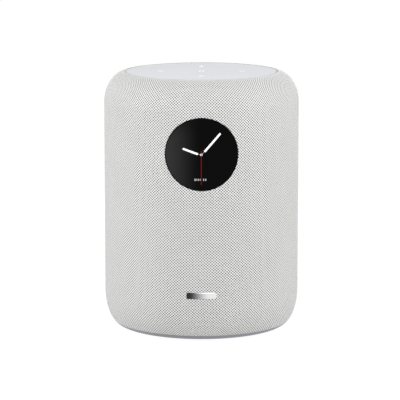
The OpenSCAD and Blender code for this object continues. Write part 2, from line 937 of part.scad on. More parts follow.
module power_supply_parts() {
    face = supply_y + board_t;
    color("#c9a23a") block_y(6, 92, 24, 22, face, face + 18);
    color("#2a3a66") {
        translate([-18, face + 8, 84]) cylinder(r = 8, h = 24);
        rod_y(27, 84, 4, face, face + 13);
        rod_y(27, 98, 4, face, face + 13);
    }
    color("#e8e8e8") block_y(-15, 75, 14, 6, face, face + 7);
    color("#9aa0a6") block_y(-33, 94, 3, 30, face, face + 12);
}

module wifi_antennas() {
    color("#d0a85a")
        for (a = [-30, 30])
            rotate([0, 0, a]) block_y(0, 156, 14, 22, frame_r, frame_r + 1);
}

module internal_leads() {
    color("#b23a34")
        for (x = [-1.2, 1.2]) {
            // woofer, out through the cabinet lid and up to the main board
            lead([[woofer_lead_x + x, -27.8, 30.5], [woofer_lead_x + x, 8, 28], [woofer_lead_x + x, 26, 50],
                  [woofer_lead_x + x, 38, 50], [woofer_lead_x + x, 38, 127], [woofer_lead_x + x, 10.4, 133]], 0.7);
            // power supply to the main board
            lead([[supply_lead_x + x, 38, 98], [supply_lead_x + x, 38, 127], [supply_lead_x + x, 10.4, 131]], 0.7);
            // inlet to the power supply
            lead([[inlet_x + 3.4 * x, 41.4, inlet_z], [inlet_x + 3.4 * x, 40, 56],
                  [inlet_x + 2 * x, 43.5, 71]], 0.7);
            // main board to each tweeter
            lead([[12, 4, 136 + x], [30, -12, 130 + x], [37.8, -19.6, 139 + x]], 0.7);
            lead([[-8, 4, 136 + x], [-30, -12, 130 + x], [-37.8, -19.6, 139 + x]], 0.7);
        }
}

module ribbon_cables() {
    t = 0.3;
    color("#e4e4e4") {
        // display to the connector on the main board
        translate([-6, -59.6, 122.5]) cube([12, 64.6, t]);
        translate([-6, 5 - t, 122.5]) cube([12, t, 14]);
        // touch board to the top edge of the main board
        translate([-6, 8.6, 179]) cube([12, t, touch_board_z - 179]);
        // socket board to the back of the main board
        translate([-9.5, 36.8, 60]) cube([8, io_board_y - 36.8, t]);
        translate([-9.5, 36.8, 60]) cube([8, t, 70]);
        translate([-9.5, main_board_y + board_t, 130 - t]) cube([8, 27.5, t]);
    }
}

// ---------------------------------------------------------------- fasteners

module case_screws() {
    color("#70747a") {
        for (p = POSTS)
            translate([p[0], p[1], 9]) rotate([180, 0, 0]) screw(2.9, 2, 1.25, 14);
        for (p = POSTS)
            translate([p[0], p[1], cabinet_z1 + 2.5]) screw(2.9, 2, 1.25, 9);
        for (p = LID_SCREWS)
            translate([p[0], lid_y1, p[1]]) rotate([-90, 0, 0]) screw(2.9, 2, 1.25, 13);
        for (a = [45 : 90 : 315])
            rotate([0, 0, a]) translate([top_screw_r, 0, flange_top_z - 1]) screw(2.1, 0.9, 0.85, 4);
        for (a = [0 : 90 : 270])
            rotate([0, 0, a]) translate([frame_r - frame_wall / 2, 0, frame_top_z + 3]) screw(1.5, 1, 0.65, 9);
    }
}

module driver_screws() {
    color("#70747a") {
        facing_front(woofer_y, woofer_z)
            for (a = [45 : 90 : 315])
                rotate([0, 0, a]) translate([woofer_screw_r, 0, woofer_flange_t]) screw(2.4, 1.6, 1.25, 7.5);
        for (side = [-1, 1])
            at_tweeter(side)
                for (a = [0, 180])
                    rotate([0, 0, a]) translate([16.4, 0, 2]) screw(1.5, 0.9, 0.65, 2);
    }
}

module board_screws() {
    color("#70747a") {
        for (p = SUPPLY_SCREWS)
            translate([p[0], supply_y + board_t, p[1]]) rotate([-90, 0, 0]) screw(2.2, 1.4, 0.85, 5);
        for (p = IO_SCREWS)
            translate([p[0], io_front_y, p[1]]) rotate([-90, 0, 0]) screw(1.8, 1.2, 0.85, 5);
        for (p = MAIN_SCREWS)
            translate([p[0], main_board_y, p[1]]) rotate([90, 0, 0]) screw(2.2, 1.4, 0.85, 8);
    }
}

// ---------------------------------------------------------------- nodes

fabric_sleeve();
grille_basket();
base_shell();
rubber_foot();
front_badge();
top_plate();
touch_icons();
icon_light_guide();
touch_board();
icon_leds();
microphones();
top_frame();
display_glass();
display_gasket();
display_panel();
display_board();
display_housing();
rear_panel();
power_inlet();
inlet_pins();
ethernet_jack();
ethernet_contacts();
aux_jack();
pair_button();
pair_switch();
mic_slider();
mic_switch();
io_board();
cabinet_body();
cabinet_lid();
cabinet_seal();
damping_pad();
woofer_basket();
woofer_front_plate();
woofer_magnet();
woofer_yoke();
woofer_voice_coil();
woofer_cone();
woofer_dust_cap();
woofer_surround();
woofer_spider();
woofer_gasket();
tweeter_left_frame();
tweeter_left_motor();
tweeter_left_dome();
tweeter_right_frame();
tweeter_right_motor();
tweeter_right_dome();
upper_frame();
main_board();
heat_sink();
power_supply_board();
power_supply_parts();
wifi_antennas();
internal_leads();
ribbon_cables();
case_screws();
driver_screws();
board_screws();
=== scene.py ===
"""Fabric-covered smart speaker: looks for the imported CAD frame, in metres, front towards -Y."""
import json
import math

import bmesh
import bpy
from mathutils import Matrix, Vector


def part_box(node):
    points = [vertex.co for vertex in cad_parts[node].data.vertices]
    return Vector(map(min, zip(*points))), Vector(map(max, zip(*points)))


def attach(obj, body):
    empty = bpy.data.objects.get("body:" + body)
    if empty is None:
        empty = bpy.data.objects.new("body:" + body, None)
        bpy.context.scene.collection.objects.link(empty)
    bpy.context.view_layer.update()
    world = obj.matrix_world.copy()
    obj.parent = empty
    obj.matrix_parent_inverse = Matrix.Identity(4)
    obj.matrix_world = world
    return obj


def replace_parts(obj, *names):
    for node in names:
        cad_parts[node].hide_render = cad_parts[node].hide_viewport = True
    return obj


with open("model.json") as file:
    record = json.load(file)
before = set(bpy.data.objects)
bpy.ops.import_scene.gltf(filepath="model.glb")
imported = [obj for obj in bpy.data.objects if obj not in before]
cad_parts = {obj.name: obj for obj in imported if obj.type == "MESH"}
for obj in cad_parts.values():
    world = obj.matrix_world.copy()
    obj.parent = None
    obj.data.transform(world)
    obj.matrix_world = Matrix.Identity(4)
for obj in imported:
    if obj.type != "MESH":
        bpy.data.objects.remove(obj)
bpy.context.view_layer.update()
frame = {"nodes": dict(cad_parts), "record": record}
NODES = frame["nodes"]
MM = 0.001


# ---------------------------------------------------------------- sizes, read from the frame

FABRIC_LOW, FABRIC_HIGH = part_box("fabric_sleeve")
PLATE_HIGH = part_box("top_plate")[1]
GLASS_LOW, GLASS_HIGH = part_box("display_glass")
RECESS_LOW, RECESS_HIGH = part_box("rear_panel")
BADGE_LOW, BADGE_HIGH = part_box("front_badge")

BODY_R = FABRIC_HIGH.x
BODY_H = FABRIC_HIGH.z
HEM_Z = FABRIC_LOW.z
EDGE_GAP = 0.3 * MM                       # between the fabric and the plate or the rear panel
CREST_R = PLATE_HIGH.x + EDGE_GAP
TOP_ROUND_H = 23.2 * MM                   # quarter ellipses of the rounded edges, as in the CAD
BOTTOM_ROUND_W = 12.5 * MM
BOTTOM_ROUND_H = 26.8 * MM
FOOT_LIFT = 1.5 * MM
BOTTOM_END_Z = FOOT_LIFT + BOTTOM_ROUND_H

GLASS_R = GLASS_HIGH.x
GLASS_Z = (GLASS_LOW.z + GLASS_HIGH.z) / 2
GLASS_HOLE_R = GLASS_R + 0.32 * MM
RECESS_W = (RECESS_HIGH.x - RECESS_LOW.x) / 2 + EDGE_GAP
RECESS_H = (RECESS_HIGH.z - RECESS_LOW.z) / 2 + EDGE_GAP
RECESS_Z = (RECESS_LOW.z + RECESS_HIGH.z) / 2
RECESS_ROUND = 10.3 * MM
OPENING_REACH = 5 * MM                    # fabric this near to an opening belongs to its edge

WEAVE_COLUMNS = 208                       # weave cells round the body
WEAVE_CELL_H = 2.04 * MM


# ---------------------------------------------------------------- node helpers

class Value:
    """A number in a material's node tree; arithmetic on it adds Math nodes."""

    def __init__(self, tree, socket):
        self.tree = tree
        self.socket = socket

    def op(self, operation, *others):
        node = self.tree.nodes.new("ShaderNodeMath")
        node.operation = operation
        for i, term in enumerate((self,) + others):
            if isinstance(term, Value):
                self.tree.links.new(term.socket, node.inputs[i])
            else:
                node.inputs[i].default_value = term
        return Value(self.tree, node.outputs[0])

    def __add__(self, other):
        return self.op("ADD", other)

    def __sub__(self, other):
        return self.op("SUBTRACT", other)

    def __mul__(self, other):
        return self.op("MULTIPLY", other)

    def ramp(self, low, high, to_low=0.0, to_high=1.0):
        node = self.tree.nodes.new("ShaderNodeMapRange")
        node.interpolation_type = "SMOOTHSTEP"
        limits = {"From Min": low, "From Max": high, "To Min": to_low, "To Max": to_high}
        for name, number in limits.items():
            node.inputs[name].default_value = number
        self.tree.links.new(self.socket, node.inputs["Value"])
        return Value(self.tree, node.outputs["Result"])


class Material:
    """A Principled material with a few short-hands for its node tree."""

    def __init__(self, name, color, roughness, **shader):
        self.material = bpy.data.materials.new(name)
        self.material.use_nodes = True
        self.tree = self.material.node_tree
        self.shader = self.tree.nodes["Principled BSDF"]
        self.set("Base Color", (*color, 1))
        self.set("Roughness", roughness)
        for socket, number in shader.items():
            self.set(socket.replace("_", " "), number)

    def set(self, socket, number):
        self.shader.inputs[socket].default_value = number

    def place(self, scale=(1, 1, 1)):
        """The piece's own coordinates, stretched by scale."""
        coords = self.tree.nodes.new("ShaderNodeTexCoord")
        mapping = self.tree.nodes.new("ShaderNodeMapping")
        mapping.inputs["Scale"].default_value = scale
        self.tree.links.new(coords.outputs["Object"], mapping.inputs["Vector"])
        return mapping.outputs["Vector"]

    def noise(self, scale, detail=3.0, stretch=(1, 1, 1)):
        node = self.tree.nodes.new("ShaderNodeTexNoise")
        node.inputs["Scale"].default_value = scale
        node.inputs["Detail"].default_value = detail
        self.tree.links.new(self.place(scale=stretch), node.inputs["Vector"])
        return Value(self.tree, node.outputs["Fac"])

    def speckle(self, scale):
        node = self.tree.nodes.new("ShaderNodeTexVoronoi")
        node.inputs["Scale"].default_value = scale
        self.tree.links.new(self.place(), node.inputs["Vector"])
        return Value(self.tree, node.outputs["Distance"])

    def mix(self, factor, color_a, color_b, socket="Base Color"):
        node = self.tree.nodes.new("ShaderNodeMix")
        node.data_type = "RGBA"
        node.inputs["A"].default_value = (*color_a, 1)
        node.inputs["B"].default_value = (*color_b, 1)
        self.tree.links.new(factor.socket, node.inputs["Factor"])
        self.tree.links.new(node.outputs["Result"], self.shader.inputs[socket])

    def vary(self, value, socket):
        self.tree.links.new(value.socket, self.shader.inputs[socket])

    def bump(self, height, depth):
        """Raises the surface by depth metres where height is 1."""
        node = self.tree.nodes.new("ShaderNodeBump")
        node.inputs["Distance"].default_value = depth
        self.tree.links.new(height.socket, node.inputs["Height"])
        self.tree.links.new(node.outputs["Normal"], self.shader.inputs["Normal"])


def shade(color, factor):
    return tuple(min(1.0, c * factor) for c in color)


# ---------------------------------------------------------------- materials

def weave_material():
    """Two families of diagonal yarns, over and under each other; the colour darkens with yarn height, a
    painted shade down the yarns' sides and in the gaps where four cross, which are partly real openings
    too.
    """
    m = Material("woven_fabric", (0.6, 0.6, 0.59), 0.88, Sheen_Weight=0.25, Sheen_Roughness=0.5)
    m.set("Specular IOR Level", 0.2)
    uv = m.tree.nodes.new("ShaderNodeUVMap")
    uv.uv_map = "weave"
    split = m.tree.nodes.new("ShaderNodeSeparateXYZ")
    m.tree.links.new(uv.outputs["UV"], split.inputs["Vector"])
    u, v = Value(m.tree, split.outputs["X"]), Value(m.tree, split.outputs["Y"])
    across, along = u + v, u - v
    rounding, middle_height, swing = -4.6, 0.68, 0.32

    def yarn(own, other, sign):
        """Height of one family of yarns, whose middles lie where own is a whole number and a half."""
        offset = own.op("FRACT") - 0.5
        crown = (offset * offset * rounding + 1.0).op("MAXIMUM", 0.0)
        parity = (own.op("FLOOR") * 0.5).op("FRACT") * -4.0 + 1.0
        wave = (other * math.pi).op("SINE") * parity * (swing * sign)
        return crown * (wave + middle_height)

    height = yarn(across, along, 1).op("MAXIMUM", yarn(along, across, -1))
    fibre = m.noise(2600, 3)
    soft = m.noise(28, 2)
    # painted shade: lightness follows yarn height, near black in the hollows between yarns; the fibre
    # and soft noise are random tone
    light = height.ramp(0.255, 0.84) * fibre.ramp(0.25, 0.75, 0.93, 1.0) * soft.ramp(0.3, 0.7, 0.97, 1.0)
    m.mix(light, (0.025, 0.025, 0.025), (0.665, 0.667, 0.658))
    m.bump(height + fibre * 0.05, 0.14 * MM)
    return m.material


def plastic(name, color, roughness=0.45, grain=1400, depth=0.02, patchy=0.05, **shader):
    """Moulded plastic with a fine spark-eroded grain."""
    m = Material(name, color, roughness, **shader)
    fine = m.noise(grain, 4)
    broad = m.noise(40, 2)
    m.mix(broad.ramp(0.3, 0.7), shade(color, 1 - patchy), shade(color, 1 + patchy))
    m.vary(fine.ramp(0.2, 0.8, roughness * 0.85, min(1, roughness * 1.15)), "Roughness")
    m.bump(fine, depth * MM)
    return m.material


def metal(name, color, roughness=0.25, stretch=(1, 1, 30)):
    """Metal with a drawn or turned grain along the axis that is stretched least."""
    m = Material(name, color, roughness, Metallic=1.0)
    lines = m.noise(300, 3, stretch)
    m.mix(lines.ramp(0.3, 0.7), shade(color, 0.88), shade(color, 1.06))
    m.vary(lines.ramp(0.2, 0.8, roughness * 0.75, roughness * 1.3), "Roughness")
    m.bump(lines, 0.01 * MM)
    return m.material


def rubber(name, color, depth=0.05):
    m = Material(name, color, 0.75)
    pores = m.speckle(900)
    dust = m.noise(120, 4)
    m.mix(dust.ramp(0.35, 0.8), color, shade(color, 1.7))
    m.vary(dust.ramp(0.2, 0.8, 0.62, 0.85), "Roughness")
    m.bump(pores, depth * MM)
    return m.material


def circuit_board(name):
    """Green solder mask over traces that run at right angles."""
    mask, copper = (0.02, 0.13, 0.06), (0.06, 0.24, 0.12)
    m = Material(name, mask, 0.35)
    brick = m.tree.nodes.new("ShaderNodeTexBrick")
    brick.inputs["Scale"].default_value = 260
    brick.inputs["Mortar Size"].default_value = 0.09
    m.tree.links.new(m.place(), brick.inputs["Vector"])
    traces = Value(m.tree, brick.outputs["Fac"])
    m.mix(traces, mask, copper)
    m.vary(m.noise(500).ramp(0.2, 0.8, 0.28, 0.42), "Roughness")
    m.bump(traces, 0.03 * MM)
    return m.material


def cloth(name, color, cell=900, depth=0.12):
    """Small crossed threads, for the spider, the domes and the damping wool."""
    m = Material(name, color, 0.9, Sheen_Weight=0.2)
    threads = m.speckle(cell)
    m.mix(threads.ramp(0.0, 0.6), shade(color, 1.15), shade(color, 0.6))
    m.bump(threads * -1.0, depth * MM)
    return m.material


def badge_metal():
    """Polished bar with a painted reflection: its colour goes from dark at its left to bright at its
    right.
    """
    m = Material("badge_metal", (0.8, 0.81, 0.83), 0.12, Metallic=1.0)
    split = m.tree.nodes.new("ShaderNodeSeparateXYZ")
    m.tree.links.new(m.place(), split.inputs["Vector"])
    # painted reflection: colour ramps from near black on the left to bright on the right, standing in
    # for the studio mirrored in the metal
    painted_reflection_tone = Value(m.tree, split.outputs["X"]).ramp(-9 * MM, 7 * MM)
    m.mix(painted_reflection_tone, (0.03, 0.03, 0.033), (0.74, 0.74, 0.75))
    lines = m.noise(400, 3, (1, 1, 25))
    m.vary(lines.ramp(0.2, 0.8, 0.08, 0.2), "Roughness")
    m.bump(lines, 0.004 * MM)
    return m.material


def screen_glass():
    """Black cover glass with a painted reflection: a soft grey glow, emitted by the glass itself, that
    fades from the left.
    """
    m = Material("screen_glass", (0.0015, 0.0015, 0.0016), 0.08)
    m.set("Specular IOR Level", 0.03)
    split = m.tree.nodes.new("ShaderNodeSeparateXYZ")
    m.tree.links.new(m.place(), split.inputs["Vector"])
    x = Value(m.tree, split.outputs["X"])
    z = Value(m.tree, split.outputs["Z"]) - GLASS_Z
    reach = (x * x + z * z).op("SQRT")
    inside = reach.ramp(GLASS_R - 0.9 * MM, GLASS_R - 0.5 * MM, 1.0, 0.0)
    # painted reflection: grey emission over the left half, fading to nothing at the middle and to half
    # strength near the top, kept inside the rim
    painted_reflection_glow = x.ramp(-26 * MM, -0.5 * MM, 1.0, 0.0) * z.ramp(10 * MM, 27 * MM, 1.0, 0.5)
    m.mix(inside * painted_reflection_glow, (0.0, 0.0, 0.0), (0.030, 0.030, 0.031), "Emission Color")
    m.set("Emission Strength", 1.0)
    smear = m.noise(60, 3, (1, 1, 2))
    m.vary(smear.ramp(0.3, 0.8, 0.05, 0.13), "Roughness")
    m.bump(smear, 0.002 * MM)
    return m.material


def glow(name, color, strength):
    """A lit mark: it shines, with a faint dot raster."""
    m = Material(name, shade(color, 0.15), 0.4)
    m.set("Specular IOR Level", 0.02)
    raster = m.speckle(3500)
    m.mix(raster.ramp(0.0, 0.8), color, shade(color, 0.86), "Emission Color")
    m.set("Emission Strength", strength)
    return m.material


def make_slot_materials():
    """One material for each of the record's material slots."""
    return {
        "fabric": weave_material(),
        "grille": plastic("grille", (0.11, 0.12, 0.13), 0.5),
        "base": plastic("base", (0.172, 0.177, 0.196), 0.42, 1800, 0.015),
        "foot_rubber": rubber("foot_rubber", (0.16, 0.16, 0.165)),
        "badge_metal": badge_metal(),
        "top_plastic": plastic("top_plastic", (0.55, 0.555, 0.58), 0.7, 2200, 0.01, 0.008,
                               Specular_IOR_Level=0.15),
        "icon_white": glow("icon_white", (0.95, 0.96, 1.0), 1.5),
        "light_guide": plastic("light_guide", (0.85, 0.87, 0.9), 0.3),
        "circuit_board": circuit_board("circuit_board"),
        "component": plastic("component", (0.3, 0.3, 0.3), 0.5),
        "dark_plastic": plastic("dark_plastic", (0.035, 0.036, 0.04), 0.45, 1500, 0.03),
        "display_glass": screen_glass(),
        "display_black": plastic("display_black", (0.01, 0.01, 0.012), 0.2),
        "foam": rubber("foam", (0.02, 0.02, 0.02), 0.2),
        "rear_plastic": plastic("rear_plastic", (0.52, 0.53, 0.56), 0.45, 1600, 0.02),
        "contact_metal": metal("contact_metal", (0.8, 0.62, 0.3), 0.2, (1, 20, 1)),
        "pin_metal": metal("pin_metal", (0.72, 0.72, 0.73), 0.2, (1, 20, 1)),
        "button_plastic": plastic("button_plastic", (0.66, 0.67, 0.69), 0.4, 2000, 0.01),
        "wool": cloth("wool", (0.8, 0.8, 0.75), 300, 0.8),
        "steel": metal("steel", (0.5, 0.51, 0.53), 0.35),
        "magnet": metal("magnet", (0.05, 0.05, 0.055), 0.55),
        "paper": cloth("paper", (0.035, 0.035, 0.038), 700, 0.08),
        "coil": metal("coil", (0.65, 0.3, 0.12), 0.35, (1, 40, 1)),
        "spider_cloth": cloth("spider_cloth", (0.4, 0.22, 0.08)),
        "roll_rubber": rubber("roll_rubber", (0.02, 0.02, 0.022), 0.02),
        "dome_silk": cloth("dome_silk", (0.55, 0.57, 0.6), 1500, 0.03),
        "heat_sink": metal("heat_sink", (0.6, 0.62, 0.64), 0.4),
        "antenna": metal("antenna", (0.7, 0.5, 0.2), 0.3),
        "lead": rubber("lead", (0.4, 0.03, 0.025), 0.01),
        "ribbon": plastic("ribbon", (0.7, 0.7, 0.7), 0.4, 600, 0.02),
    }


MATERIALS = make_slot_materials()
SCREEN_WHITE = glow("screen_white", (1.0, 1.0, 1.0), 1.1)
SCREEN_GREY = glow("screen_grey", (0.5, 0.5, 0.51), 1.0)
SCREEN_RED = glow("screen_red", (0.26, 0.004, 0.004), 1.0)


def dress_cad_nodes():
    """Gives every CAD node the material of its slot."""
    slots = {s["node"]: s["material_slot"] for s in frame["record"]["subparts"]}
    for name, obj in NODES.items():
        obj.data.materials.clear()
        obj.data.materials.append(MATERIALS[slots[name]])


# ---------------------------------------------------------------- mesh helpers

def add_piece(name, bm, slot, material=None):
    """Makes a smooth-shaded piece of the body, in its slot's material unless another is given."""
    mesh = bpy.data.meshes.new(name)
    bmesh.ops.recalc_face_normals(bm, faces=bm.faces)
    for face in bm.faces:
        face.smooth = True
    bm.to_mesh(mesh)
    bm.free()
    obj = bpy.data.objects.new(name, mesh)
    bpy.context.scene.collection.objects.link(obj)
    mesh.materials.append(material or MATERIALS[slot])
    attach(obj, "body")
    return obj


def on_body(x, z, lift=0.0):
    """Point of the upright wall in front, lift metres outside it."""
    return Vector((x, -math.sqrt((BODY_R + lift) ** 2 - x * x), z))


# ---------------------------------------------------------------- fabric

def quarter(centre_r, centre_z, half_w, half_h, start, end):
    """Points of an ellipse between two angles."""
    steps = 90
    return [
        (centre_r + half_w * math.cos(a), centre_z + half_h * math.sin(a))
        for a in (start + (end - start) * i / steps for i in range(steps + 1))
    ]


def body_outline():
    """(radius, height) from the hem to the crest, in even steps of half a weave cell."""
    bottom_r = BODY_R - BOTTOM_ROUND_W
    hem = math.asin((BOTTOM_END_Z - HEM_Z) / BOTTOM_ROUND_H)
    fine = quarter(bottom_r, BOTTOM_END_Z, BOTTOM_ROUND_W, BOTTOM_ROUND_H, -hem, 0)
    fine += quarter(CREST_R, BODY_H - TOP_ROUND_H, BODY_R - CREST_R, TOP_ROUND_H, 0, math.pi / 2)
    run = [0.0]
    for (r0, z0), (r1, z1) in zip(fine, fine[1:]):
        run.append(run[-1] + math.hypot(r1 - r0, z1 - z0))
    rows = round(run[-1] / (WEAVE_CELL_H / 2))
    outline, k = [], 0
    for j in range(rows + 1):
        s = run[-1] * j / rows
        while k < len(run) - 2 and run[k + 1] < s:
            k += 1
        t = (s - run[k]) / (run[k + 1] - run[k])
        outline.append(tuple(fine[k][i] + (fine[k + 1][i] - fine[k][i]) * t for i in (0, 1)))
    return outline


def display_edge(x, z):
    """Signed distance to the display opening's edge, and the way out of it."""
    away = Vector((x, z - GLASS_Z))
    return away.length - GLASS_HOLE_R, away.normalized()


def recess_edge(x, z):
    """The same for the rounded opening at the back."""
    px, pz = x, z - RECESS_Z
    qx = abs(px) - (RECESS_W - RECESS_ROUND)
    qz = abs(pz) - (RECESS_H - RECESS_ROUND)
    if qx > 0 and qz > 0:
        out = Vector((math.copysign(qx, px), math.copysign(qz, pz))).normalized()
        return math.hypot(qx, qz) - RECESS_ROUND, out
    if qx > qz:
        return qx - RECESS_ROUND, Vector((math.copysign(1, px), 0))
    return qz - RECESS_ROUND, Vector((0, math.copysign(1, pz)))


def opening_at(point):
    """Edge function of the opening that a point is near, or None."""
    def near(middle_z, half_w, half_h):
        return abs(point.z - middle_z) < half_h + OPENING_REACH and abs(point.x) < half_w + OPENING_REACH

    if point.y < 0 and near(GLASS_Z, GLASS_HOLE_R, GLASS_HOLE_R):
        return display_edge
    if point.y > 0 and near(RECESS_Z, RECESS_W, RECESS_H):
        return recess_edge
    return None


def move_on_body(point, dx, dz):
    """Slides a point of the upright wall, keeping its distance from the axis."""
    r = math.hypot(point.x, point.y)
    x = point.x + dx
    return Vector((x, math.copysign(math.sqrt(max(r * r - x * x, 0)), point.y), point.z + dz))


def fabric_grid(outline):
    """Sleeve of half-cell quads, raised at the crossings and sunk at the gaps."""
    columns = 2 * WEAVE_COLUMNS
    raised, sunk = 0.05 * MM, 0.10 * MM
    bm = bmesh.new()
    rows = []
    for j, (r, z) in enumerate(outline):
        before, after = outline[max(j - 1, 0)], outline[min(j + 1, len(outline) - 1)]
        normal = Vector((after[1] - before[1], before[0] - after[0])).normalized()
        row = []
        for i in range(columns):
            a = 2 * math.pi * i / columns
            lift = -sunk if (i + j) % 2 == 0 else raised
            if j in (0, len(outline) - 1):
                lift = 0
            rr, zz = r + normal.x * lift, z + normal.y * lift
            row.append(bm.verts.new((rr * math.sin(a), -rr * math.cos(a), zz)))
        rows.append(row)
    for low, high in zip(rows, rows[1:]):
        for i in range(columns):
            k = (i + 1) % columns
            bm.faces.new((low[i], low[k], high[k], high[i]))
    return bm


def cut_openings(bm):
    """Takes the openings out and lays the cut edges on their outlines."""
    kept_inside = 0.45 * MM                # vertices this near inside an outline are moved onto it
    gone = []
    for vert in bm.verts:
        edge = opening_at(vert.co)
        if edge and edge(vert.co.x, vert.co.z)[0] < -kept_inside:
            gone.append(vert)
    bmesh.ops.delete(bm, geom=gone, context="VERTS")
    cut = [v for v in bm.verts if v.is_boundary and opening_at(v.co)]
    for vert in cut:
        r = math.hypot(vert.co.x, vert.co.y)
        vert.co.x *= BODY_R / r
        vert.co.y *= BODY_R / r
        for _ in range(3):
            distance, out = opening_at(vert.co)(vert.co.x, vert.co.z)
            vert.co = move_on_body(vert.co, -out.x * distance, -out.y * distance)
    on_outline = set(cut)
    beside = dict.fromkeys(e.other_vert(v) for v in cut for e in v.link_edges)
    for _ in range(2):
        for vert in (v for v in beside if v not in on_outline):
            near = [e.other_vert(vert).co for e in vert.link_edges]
            vert.co = vert.co.lerp(sum(near, Vector()) / len(near), 0.5)
    return cut


def turn_in(bm, cut):
    """Rolls the cut edges inwards, as fabric that is tucked round an opening."""
    steps = ((0.10 * MM, 0.04 * MM), (0.10 * MM, 0.14 * MM), (0.04 * MM, 0.35 * MM), (0, 1.2 * MM))
    edges = [e for e in bm.edges if e.is_boundary and e.verts[0] in set(cut) and e.verts[1] in set(cut)]
    for inwards, down in steps:
        grown = bmesh.ops.extrude_edge_only(bm, edges=edges)["geom"]
        edges = [g for g in grown if isinstance(g, bmesh.types.BMEdge)]
        for vert in (g for g in grown if isinstance(g, bmesh.types.BMVert)):
            _, out = opening_at(vert.co)(vert.co.x, vert.co.z)
            moved = move_on_body(vert.co, -out.x * inwards, -out.y * inwards)
            flat = Vector((moved.x, moved.y, 0)).normalized()
            vert.co = moved - flat * down


def close_ends(bm, outline):
    """Tucks the crest down beside the touch plate and curls the hem under."""
    crest_z, hem_z = outline[-1][1], outline[0][1]
    crest_steps = ((-0.12 * MM, -0.06 * MM), (-0.10 * MM, -0.25 * MM), (0, -1.6 * MM))
    hem_steps = ((-0.12 * MM, 0.02 * MM), (-0.25 * MM, 0.2 * MM))
    for at, steps in ((crest_z, crest_steps), (hem_z, hem_steps)):
        edges = [e for e in bm.edges if e.is_boundary and abs(e.verts[0].co.z - at) < 0.01 * MM]
        for outwards, up in steps:
            grown = bmesh.ops.extrude_edge_only(bm, edges=edges)["geom"]
            edges = [g for g in grown if isinstance(g, bmesh.types.BMEdge)]
            for vert in (g for g in grown if isinstance(g, bmesh.types.BMVert)):
                flat = Vector((vert.co.x, vert.co.y, 0)).normalized()
                vert.co += flat * outwards + Vector((0, 0, up))


def lay_weave(bm, outline):
    """UVs counted in weave cells: round the body and up the outline."""
    heights = [z for _, z in outline]
    cells = (len(outline) - 1) / 2

    def rise(z):
        low, high = 0, len(heights) - 1
        while high - low > 1:
            mid = (low + high) // 2
            low, high = (mid, high) if heights[mid] <= z else (low, mid)
        t = (z - heights[low]) / max(heights[high] - heights[low], 1e-9)
        return (low + min(max(t, 0), 1)) / 2

    def weave_row(point):
        """Row of a point; the lip beside the touch plate goes on past the crest."""
        least, lip_depth = 0.02 * MM, 3 * MM
        inwards = CREST_R - math.hypot(point.x, point.y)
        if inwards > least and point.z > BODY_H - lip_depth:
            return cells + (inwards + BODY_H - point.z) / WEAVE_CELL_H
        return rise(point.z)

    layer = bm.loops.layers.uv.new("weave")
    full = 2 * math.pi
    for face in bm.faces:
        turns = [(math.atan2(loop.vert.co.x, -loop.vert.co.y) % full) / full for loop in face.loops]
        if max(turns) - min(turns) > 0.5:
            turns = [t + 1 if t < 0.5 else t for t in turns]
        for loop, turn in zip(face.loops, turns):
            loop[layer].uv = (turn * WEAVE_COLUMNS, weave_row(loop.vert.co))


def make_fabric():
    outline = body_outline()
    bm = fabric_grid(outline)
    cut = cut_openings(bm)
    turn_in(bm, cut)
    close_ends(bm, outline)
    lay_weave(bm, outline)
    fabric = add_piece("fabric_skin", bm, "fabric")
    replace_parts(fabric, "fabric_sleeve")


# ---------------------------------------------------------------- display

def make_display_glass():
    """Curved glass disc with a polished round edge; rings hold (distance from the middle, depth)."""
    rings = [(GLASS_R * t, 0.0) for t in (0.0, 0.2, 0.4, 0.6, 0.8, 0.9)]
    edge, thickness = 0.5 * MM, 1.8 * MM
    for k in range(7):
        a = math.pi / 2 * k / 6
        rings.append((GLASS_R - edge + edge * math.sin(a), edge * (1 - math.cos(a))))
    rings += [(GLASS_R, thickness), (GLASS_R * 0.5, thickness)]
    bm = bmesh.new()
    turns = 144
    centre = bm.verts.new(on_body(0, GLASS_Z))
    loops = []
    for reach, depth in rings[1:]:
        angles = (2 * math.pi * i / turns for i in range(turns))
        rim = (on_body(reach * math.sin(a), GLASS_Z + reach * math.cos(a)) for a in angles)
        loops.append([bm.verts.new(point + Vector((0, depth, 0))) for point in rim])
    for i in range(turns):
        bm.faces.new((centre, loops[0][i], loops[0][(i + 1) % turns]))
        for inner, outer in zip(loops, loops[1:]):
            bm.faces.new((inner[i], outer[i], outer[(i + 1) % turns], inner[(i + 1) % turns]))
    bm.faces.new(loops[-1])
    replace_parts(add_piece("display_cover", bm, "display_glass"), "display_glass")


def stroke(bm, start, end, width, lift):
    """Round-ended line on the curved glass; its ends are in millimetres from the display's centre."""
    start, end = Vector(start) * MM, Vector(end) * MM
    half = width * MM / 2
    along = (end - start).normalized()
    side = Vector((-along.y, along.x)) * half
    angles = [math.pi / 2 * k / 8 for k in range(9)]
    stations = [(start - along * half * math.cos(a), math.sin(a)) for a in angles]
    stations += [(start.lerp(end, k / 12), 1.0) for k in range(1, 12)]
    stations += [(end + along * half * math.sin(a), math.cos(a)) for a in angles]
    previous = None
    for centre, share in stations:
        share = max(share, 0.02)
        row = [
            bm.verts.new(on_body(p.x, GLASS_Z + p.y, lift))
            for p in (centre - side * share, centre, centre + side * share)
        ]
        if previous:
            for k in (0, 1):
                bm.faces.new((previous[k], previous[k + 1], row[k + 1], row[k]))
        previous = row


def mark(name, strokes, material, lift):
    """A lit mark on the screen, made of strokes (start, end, width) in millimetres, lift metres up."""
    bm = bmesh.new()
    for start, end, width in strokes:
        stroke(bm, start, end, width, lift)
    obj = add_piece(name, bm, "display_black", material)
    obj.modifiers.new("body", "SOLIDIFY").thickness = 0.02 * MM


